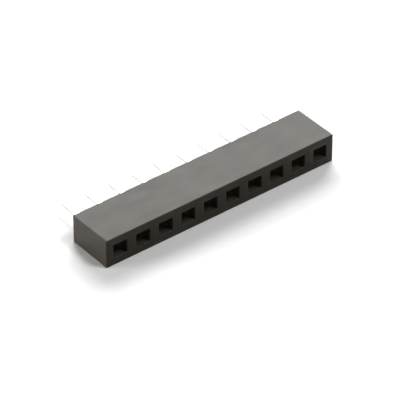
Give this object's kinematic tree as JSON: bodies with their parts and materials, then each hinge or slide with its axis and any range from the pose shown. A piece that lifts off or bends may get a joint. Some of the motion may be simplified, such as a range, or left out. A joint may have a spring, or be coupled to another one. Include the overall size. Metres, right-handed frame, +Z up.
{
  "type": "female pin header strip",
  "caption": "Single-row female pin header strip: a moulded housing with square lead-in sockets, a spring contact in each and straight solder tails.",
  "frame": {"origin": "middle of the long side of the housing that the strip lies on", "axes": "+X along the row, -Y the way the sockets open, +Y the way the solder tails leave, +Z up from the side that the strip lies on"},
  "size_m": [0.0204, 0.0066, 0.0023],
  "materials": {
    "housing_plastic": "satin moulded black thermoplastic",
    "contact_metal": "bright tin plate on spring bronze"
  },
  "bodies": {
    "root": {"housing": "housing_plastic", "contact_1": "contact_metal", "contact_2": "contact_metal", "contact_3": "contact_metal", "contact_4": "contact_metal", "contact_5": "contact_metal", "contact_6": "contact_metal", "contact_7": "contact_metal", "contact_8": "contact_metal", "contact_9": "contact_metal", "contact_10": "contact_metal"}
  },
  "joints": []
}
